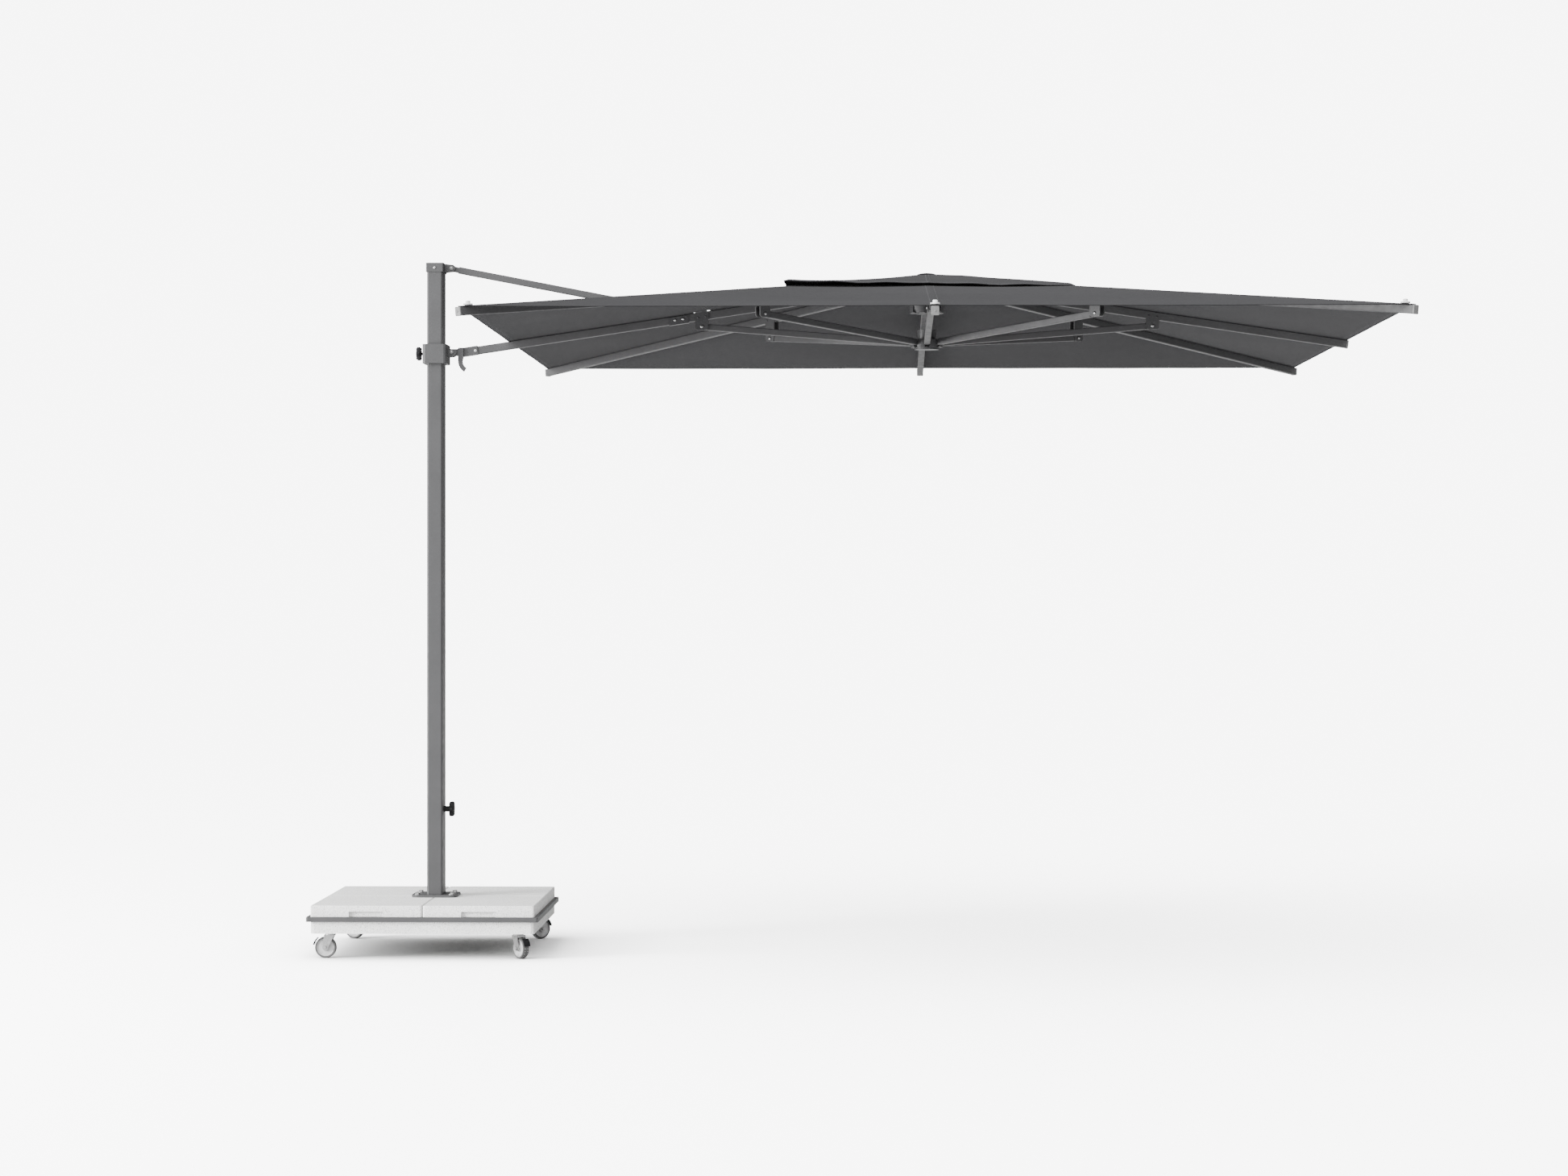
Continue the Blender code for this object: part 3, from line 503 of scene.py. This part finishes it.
def sheet_piece(name, side, point, rings, half_strip, steps, thick, material, hem, slot_half=None, lap=False):
    """A thin closed sheet over one gore, thicker along its rib seam and in its hem, and its flat area."""
    corner = RIBS[side] % 90 != 0
    cols = [(*col, 0) for col in columns_for(side, half_strip, steps, slot_half)]
    if lap and corner:
        (face_a, share_a, _, _), (face_b, share_b, _, _) = cols[0], cols[-1]
        cols = [(face_a, share_a, 0, -1), (face_a, share_a, 0, -LAP_STEP), *cols,
                (face_b, share_b, 0, LAP_STEP), (face_b, share_b, 0, 1)]
    outer = rings[-1]
    step = 0.002                             # for the surface's slope
    plain, doubled, seam_in_hem = 1.0, 2.0, 2.6        # times the cloth's thickness
    grid = []
    area = 0.0
    for s in rings:
        row = []
        for face, share, offset, under in cols:
            across = share * s + offset + under * lap_width(s)
            here = point(face, s, across)
            p = here - Vector((0, 0, LAP_DROP if under else 0))
            inside = max(s - step, 1e-4)
            d_out = here - point(face, inside, min(max(across, -inside), inside))
            d_side = point(face, s, across + (step if abs(across) + step < s else -step)) - here
            normal = d_out.cross(d_side)
            normal = normal if normal.length > 1e-12 else Vector((0, 0, 1))
            normal.normalize()
            normal = normal if normal.z > 0 else -normal
            on_seam = (s - abs(across) if corner else abs(across)) < half_strip * 0.95
            on_hem = s > outer - hem
            width = thick * (seam_in_hem if on_hem and on_seam else doubled if on_hem or on_seam else plain)
            row.append((p, normal, width, (across, s)))
        grid.append(row)
    rows, count = len(grid), len(cols)
    verts = [p + n * (w / 2) for row in grid for p, n, w, _ in row]
    verts += [p - n * (w / 2) for row in grid for p, n, w, _ in row]
    uvs = [uv for row in grid for *_, uv in row] * 2
    base = rows * count
    faces, edges = [], {}

    def keep(r, c):
        return slot_half is None or not bracket_slot(rings[r], rings[r + 1], cols[c], cols[c + 1])

    for r in range(rows - 1):
        for c in range(count - 1):
            if not keep(r, c):
                continue
            quad = [r * count + c, (r + 1) * count + c, (r + 1) * count + c + 1, r * count + c + 1]
            faces.append(quad)
            faces.append([base + i for i in quad[::-1]])
            a, b, d, e = (verts[i] for i in quad)
            area += ((b - a).cross(d - a).length + (d - a).cross(e - a).length) / 2
            for i in range(4):
                edge = (quad[i], quad[(i + 1) % 4])
                if (edge[1], edge[0]) in edges:
                    del edges[(edge[1], edge[0])]
                else:
                    edges[edge] = True
    for a, b in edges:
        faces.append([b, a, base + a, base + b])
    obj = make(name, verts, faces, material, 60)
    set_uvs(obj, uvs)
    return obj, area


def spaced(stops):
    """Ring sizes from (start, end, steps) runs, with no repeats."""
    values = []
    for start, end, steps in stops:
        values += [start + (end - start) * i / steps for i in range(steps + 1)]
    return sorted({round(v, 5) for v in values})


def bracket_slot(s0, s1, col_a, col_b):
    """Faces of the left gore that leave room for the load bracket and the patch round it."""
    mid = (s0 + s1) / 2
    across = max(abs(col_a[1] * mid + col_a[2]), abs(col_b[1] * mid + col_b[2]))
    return abs(mid - BRACKET_AT) < SLOT_REACH and across < SLOT_HALF + 0.0001


canopy_rings = spaced([(OPENING, OPENING + 0.012, 1), (OPENING + 0.013, BRACKET_AT - SLOT_REACH, 12),
                       (BRACKET_AT - SLOT_REACH, BRACKET_AT + SLOT_REACH, 4),
                       (BRACKET_AT + SLOT_REACH, HALF - HEM - 0.001, 16),
                       (HALF - HEM, HALF - 0.001, 2), (HALF - 0.001, HALF, 1)])
vent_rings = spaced([(0.02, VENT_HALF - 0.021, 14), (VENT_HALF - 0.016, VENT_HALF, 4)])

for side, azimuth in RIBS.items():
    turn = math.radians(azimuth)
    ray = Vector((math.cos(turn), math.sin(turn), 0))
    corner = azimuth % 90 != 0

    gore, area = sheet_piece(f"canopy_gore_{side}", side, canopy_point, canopy_rings, SEAM_STRIP, 9,
                             CANOPY_CLOTH, "canopy_cloth", HEM, SLOT_HALF if side == "left" else None)
    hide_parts("canopy_fabric")
    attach(gore, rib_body(side))
    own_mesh(gore)

    flap, area = sheet_piece(f"vent_gore_{side}", side, vent_point, vent_rings, VENT_STRIP, 7,
                             VENT_CLOTH, "vent_cloth", VENT_HEM, lap=True)
    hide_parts("vent_fabric")
    start, end = (CENTRE + Vector((0, 0, VENT_HEM_Z)) + ray * reach for reach in VENT_BEND)
    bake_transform(flap)


def slot_patch():
    """Stiff fabric frame sewn round the slot where the upper arm reaches its bracket."""
    spots, rings = 64, []
    outlines = ((0.0292, 0.0186, 0.004), (0.0305, 0.0200, 0.005),      # half length, half width, corner
                (0.0520, 0.0510, 0.012), (0.0565, 0.0555, 0.014))
    heights = (0.0018, 0.0028, 0.0026, 0.0014)                         # of its top above the cloth's middle
    underside = 0.0011
    for half_x, half_y, corner in outlines:
        ring = []
        for i in range(spots):
            a = 2 * math.pi * (i + 0.5) / spots
            reach = 1 / max(abs(math.cos(a)) / half_x, abs(math.sin(a)) / half_y)
            x, y = reach * math.cos(a), reach * math.sin(a)
            over = max(abs(x) - (half_x - corner), 0), max(abs(y) - (half_y - corner), 0)
            length = math.hypot(*over)
            if min(over) > 0 and length > corner:
                x -= math.copysign(over[0] * (1 - corner / length), x)
                y -= math.copysign(over[1] * (1 - corner / length), y)
            ring.append((x, y))
        rings.append(ring)
    verts, uvs = [], []
    for levels in (heights, [underside] * len(rings)):
        for ring, level in zip(rings, levels):
            for x, y in ring:
                verts.append(canopy_point(2, BRACKET_AT - x, -y) + Vector((0, 0, level)))
                uvs.append((y + 0.3, BRACKET_AT - x))
    faces = []
    order = [0, 1, 2, 3, 7, 6, 5, 4]
    for a, b in zip(order, order[1:] + order[:1]):
        for i in range(spots):
            j = (i + 1) % spots
            faces.append([a * spots + i, a * spots + j, b * spots + j, b * spots + i])
    obj = make("slot_patch", verts, faces, "canopy_cloth", 40)
    set_uvs(obj, uvs)
    return obj


patch = slot_patch()
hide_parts("canopy_fabric")
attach(patch, "lower_arm")

# ---------------------------------------------------------------- hardware
PROUD = 0.0002                               # gap between a bolt head and the face under it
RIB_IN = 0.004                               # how far a rib ends inside the hem
BRACKET_BOLT = (0.0056, 0.0034)              # radius and height of each kind of head
BRACKET_RIVET = (0.0036, 0.0018)
CAP_SCREW = (0.0032, 0.0022)
PIN_SCREW = (0.0036, 0.0020)
SPLICE_BOLT = (0.0048, 0.0028)
BLOCK_BOLT = (0.0058, 0.0034)
HEAD_CAP_SCREW = (0.0050, 0.0030)
PEG_IN_SIDE, PEG_IN_CORNER = 0.019, 0.040    # hem to a peg
RIVET_OFFSETS = (-0.014, 0.014)              # along the rib, from the bracket's pin
RIVET_DOWN = 0.003                           # under the rib's centreline
SPLICE_BOLTS_X = (0.858, 0.887)
BLOCK_BOLT_AT = (0.1425, 2.0575)             # x and z
FOOT_BOLTS_X = (-0.061, 0.061)
FOOT_BOLTS_Y = (-0.050, 0.050)
FOOT_TOP_GAP = 0.0003                        # the mast tube starts this much above the foot


def hardware(name, solids, material, body):
    """One rigid piece made of several solids, with its finish and the body that it rides on."""
    piece = make(name, *joined(solids), material)
    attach(piece, body)


def canopy_line(at, reach):
    """Height of a rib's line in the cloth, at a distance out from the centre."""
    return HEM_Z + RISE * (1 - at / reach)


button = [(0.034, -0.0075), (0.036, -0.0045), (0.033, -0.0015), (0.024, 0.0012), (0.010, 0.0028),
          (0.003, 0.0030)]
button_place = Matrix.Translation(CENTRE + Vector((0, 0, VENT_TOP_Z)))
hardware("vent_button", [lathe(button, 28, button_place)], "black_plastic", "crown")

for side, azimuth in RIBS.items():
    turn = math.radians(azimuth)
    ray = Vector((math.cos(turn), math.sin(turn), 0))
    tangent = Vector((-math.sin(turn), math.cos(turn), 0))
    corner = azimuth % 90 != 0
    reach = HALF * (math.sqrt(2) if corner else 1)
    body = rib_body(side)

    if side != "left":
        slope = math.atan(RISE / reach)
        along = (ray * math.cos(slope) - Vector((0, 0, math.sin(slope)))).normalized()
        up = tangent.cross(along).normalized()
        up = up if up.z > 0 else -up
        end_z = canopy_line(reach - RIB_IN, reach) - RIB_BELOW
        end = CENTRE + ray * (reach - RIB_IN) + Vector((0, 0, end_z))
        place = Matrix.Translation(end) @ Matrix((along, tangent, up)).transposed().to_4x4()
        cap = [rounded_box((0.0002, -0.0128, -0.0150), (0.0058, 0.0128, 0.0145), 0.0035, place),
               round_head(*CAP_SCREW, place @ axis_frame((0.0058, 0, -0.001), (1, 0, 0)))]
        hardware(f"rib_end_cap_{side}", cap, "cap_plastic", body)

    peg_at = reach - (PEG_IN_CORNER if corner else PEG_IN_SIDE)
    peg_z = canopy_line(peg_at, reach) + 0.0012
    place = Matrix.Translation(CENTRE + ray * peg_at + Vector((0, 0, peg_z)))
    peg = [lathe([(0.0140, 0), (0.0155, 0.0012), (0.0155, 0.0042), (0.0140, 0.0055)], 24, place),
           lathe([(0.0078, 0.0057), (0.0078, 0.0120), (0.0066, 0.0138), (0.0030, 0.0143)], 20, place)]
    hardware(f"rib_peg_{side}", peg, "peg_plastic", body)

    face_y = 0.0163 if side == "left" else 0.0128      # half width over the bracket's cheeks
    heads, rivets = [], []
    for sign in (-1, 1):
        outward = tangent * (sign * face_y)
        at = CENTRE + ray * BRACKET_AT + outward + Vector((0, 0, STRUT_PIN_Z))
        heads.append(round_head(*BRACKET_BOLT, axis_frame(at, tangent * sign)))
        for offset in RIVET_OFFSETS:
            rivet_z = canopy_line(BRACKET_AT + offset, reach) - RIB_BELOW - RIVET_DOWN
            at = CENTRE + ray * (BRACKET_AT + offset) + outward + Vector((0, 0, rivet_z))
            rivets.append(round_head(*BRACKET_RIVET, axis_frame(at, tangent * sign)))
    hardware(f"bracket_bolts_{side}", heads, "stainless", body)
    hardware(f"bracket_rivets_{side}", rivets, "cast_fitting", body)


def bolt_pair(name, body, low, high, gap, spots, size):
    """Round heads at (x, z) spots on the front and back faces of a box, as one piece for each face."""
    for end, y, face in (("near", low.y - gap, -1), ("far", high.y + gap, 1)):
        heads = [round_head(*size, axis_frame((x, y, z), (0, face, 0))) for x, z in spots]
        hardware(f"{name}_{end}", heads, "stainless", body)


for node, body in (("head_pin", "mast"), ("collar_pin", "collar"), ("load_pin", "lower_arm")):
    low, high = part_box(node)
    middle = (low + high) / 2
    bolt_pair(f"{node}_screw", body, low, high, 0.0001, [(middle.x, middle.z)], PIN_SCREW)

splices = [(x, canopy_line(CENTRE.x - x, HALF) - RIB_BELOW) for x in SPLICE_BOLTS_X]
bolt_pair("splice_bolts", "lower_arm", *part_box("splice_channel"), PROUD, splices, SPLICE_BOLT)
bolt_pair("block_bolt", "lower_arm", *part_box("handle_block"), PROUD, [BLOCK_BOLT_AT], BLOCK_BOLT)

head_low, head_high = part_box("mast_head")
screw_z = (head_low.z + head_high.z) / 2 - 0.002
bolt_pair("head_cap_screw", "mast", head_low, head_high, PROUD, [(0.0, screw_z)], HEAD_CAP_SCREW)

foot_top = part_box("mast_tube")[0].z - FOOT_TOP_GAP
bolts = []
for x in FOOT_BOLTS_X:
    for y in FOOT_BOLTS_Y:
        place = Matrix.Translation((x, y, foot_top + PROUD))
        bolts.append(lathe([(0.0115, 0), (0.0115, 0.0012), (0.0105, 0.0018)], 20, place))
        bolts.append(hexagon(0.0082, 0.0019, 0.0078, place))
hardware("foot_bolts", bolts, "stainless", "base")


def tyre(hub):
    """Soft tread round a wheel: a closed loop of (radius, height) points turned about the hub's axis."""
    tread = [(0.0300, -0.0108), (0.0352, -0.0112), (0.0372, -0.0080), (0.0375, -0.0040)]
    tread += [(r, -h) for r, h in reversed(tread)]
    verts, faces = [], []
    count = 48
    for i in range(count):
        a = 2 * math.pi * i / count
        verts += [hub @ Vector((r * math.cos(a), r * math.sin(a), h)) for r, h in tread]
        for k in range(len(tread)):
            row, following = i * len(tread), (i + 1) % count * len(tread)
            step = (k + 1) % len(tread)
            faces.append([row + k, following + k, following + step, row + step])
    return verts, faces


NUT_OUT = 0.0197                             # wheel's middle to a nut's inner face
for place_name in CASTERS:
    wheel_joint = joints[f"wheel_roll_{place_name}"]
    at, axis = Vector(wheel_joint["pos_m"]), Vector(wheel_joint["axis"])
    nuts = [hexagon(0.0062, 0.0, 0.0042, axis_frame(at + axis * (sign * NUT_OUT), axis * sign))
            for sign in (-1, 1)]
    hardware(f"axle_nuts_{place_name}", nuts, "stainless", f"caster_fork_{place_name}")
    hardware(f"tyre_{place_name}", [tyre(axis_frame(at, axis))], "tyre",
             f"caster_wheel_{place_name}")

# ---------------------------------------------------------------- floor, light and camera
FLOOR_HALF = 60
FLOOR_SEEN = 3.2                             # brightness of the floor as the camera sees it
CONTACT_REACH = 0.45                         # how far the painted soft shadow beside and under the base reaches
# darkest share of the floor's colour left by the painted shadow under the base
CONTACT_SHADE = 0.12
BACKDROP = 7.6                               # brightness of the backdrop as the camera sees it
AMBIENT = 0.16
SIDE_LIGHT = ((-0.6, -0.85, 0.30), 0.0, 3.0)           # direction, cosine where it ends, strength
TOP_LIGHT = ((-0.1, -0.2, 1.0), 0.0, 1.5)
WHITE = (1, 1, 1, 1)

floor = make("floor", [(-FLOOR_HALF, -FLOOR_HALF, FLOOR_Z), (FLOOR_HALF, -FLOOR_HALF, FLOOR_Z),
                       (FLOOR_HALF, FLOOR_HALF, FLOOR_Z), (-FLOOR_HALF, FLOOR_HALF, FLOOR_Z)],
             [[0, 1, 2, 3]], "cap_plastic")
n = Nodes("pale_floor")
n.shader.inputs["Specular IOR Level"].default_value = 0.0
n.finish(n.ramp(n.noise(0.4, 2), [(0.3, 0.60), (0.7, 0.605)]), 1.0)
# painted shadow: the floor's colour as the camera sees it is darkened by ambient occlusion where the base is near
painted_shadow_ao = n.add("ShaderNodeAmbientOcclusion", Distance=CONTACT_REACH)
shade = n.ramp(painted_shadow_ao.outputs["AO"], [(0.0, CONTACT_SHADE), (1.0, 1.0)])
bright = n.add("ShaderNodeBsdfDiffuse", Color=n.mix(1.0, shade, (FLOOR_SEEN,) * 3, "MULTIPLY"))
both = n.add("ShaderNodeMixShader", Fac=n.add("ShaderNodeLightPath").outputs["Is Camera Ray"])
n.set(both.inputs[1], n.shader.outputs[0])
n.set(both.inputs[2], bright.outputs[0])
n.set(n.tree.nodes["Material Output"].inputs["Surface"], both.outputs[0])
floor.data.materials[0] = n.material
floor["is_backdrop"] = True

world = bpy.data.worlds.new("studio")
bpy.context.scene.world = world
world.use_nodes = True
tree = world.node_tree
sky_coords = tree.nodes.new("ShaderNodeTexCoord")


def lobe(towards, spread, strength):
    """Soft light from one side: full strength in a direction, and none where its cosine falls to spread."""
    facing = tree.nodes.new("ShaderNodeVectorMath")
    facing.operation = "DOT_PRODUCT"
    tree.links.new(sky_coords.outputs["Generated"], facing.inputs[0])
    facing.inputs[1].default_value = Vector(towards).normalized()
    shape = tree.nodes.new("ShaderNodeMapRange")
    shape.interpolation_type = "SMOOTHSTEP"
    for index, value in enumerate((spread, 1.0, 0.0, strength), 1):
        shape.inputs[index].default_value = value
    tree.links.new(facing.outputs["Value"], shape.inputs[0])
    return shape.outputs[0]


total = tree.nodes.new("ShaderNodeMath")
total.operation = "ADD"
tree.links.new(lobe(*SIDE_LIGHT), total.inputs[0])
tree.links.new(lobe(*TOP_LIGHT), total.inputs[1])
level = tree.nodes.new("ShaderNodeMath")
level.operation = "ADD"
tree.links.new(total.outputs[0], level.inputs[0])
level.inputs[1].default_value = AMBIENT
background = tree.nodes["Background"]
background.inputs["Color"].default_value = WHITE
tree.links.new(level.outputs[0], background.inputs["Strength"])
backdrop = tree.nodes.new("ShaderNodeBackground")
backdrop.inputs["Color"].default_value = WHITE
backdrop.inputs["Strength"].default_value = BACKDROP
chosen = tree.nodes.new("ShaderNodeMixShader")
ray_kind = tree.nodes.new("ShaderNodeLightPath")
tree.links.new(ray_kind.outputs["Is Camera Ray"], chosen.inputs[0])
tree.links.new(background.outputs[0], chosen.inputs[1])
tree.links.new(backdrop.outputs[0], chosen.inputs[2])
tree.links.new(chosen.outputs[0], tree.nodes["World Output"].inputs["Surface"])


def add_lamp(name, kind, energy, direction):
    """A lamp that shines in a direction."""
    data = bpy.data.lights.new(name, kind)
    data.energy = energy
    obj = bpy.data.objects.new(name, data)
    bpy.context.scene.collection.objects.link(obj)
    obj.rotation_euler = Vector(direction).to_track_quat("-Z", "Y").to_euler()
    return obj


key = add_lamp("key", "SUN", 2.0, (0.84, 0.54, -0.40))
key.data.angle = math.radians(16)

box_at, box_target = Vector((-6.5, -3.2, 0.6)), Vector((1.8, 0, 2.0))
softbox = add_lamp("softbox", "AREA", 1500, box_target - box_at)
softbox.location = box_at
softbox.data.shape = "SQUARE"
softbox.data.size = 3.0
softbox.visible_camera = False

camera_data = bpy.data.cameras.new("camera")
camera_data.sensor_width = 36
camera_data.lens = 77.574
camera_data.clip_end = 200
camera = bpy.data.objects.new("camera", camera_data)
bpy.context.scene.collection.objects.link(camera)
camera.location = (1.5423, -12.0958, 1.1975)
camera.rotation_euler = (math.pi / 2 + 0.0008, 0, 0.0243)
bpy.context.scene.camera = camera

low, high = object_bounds()
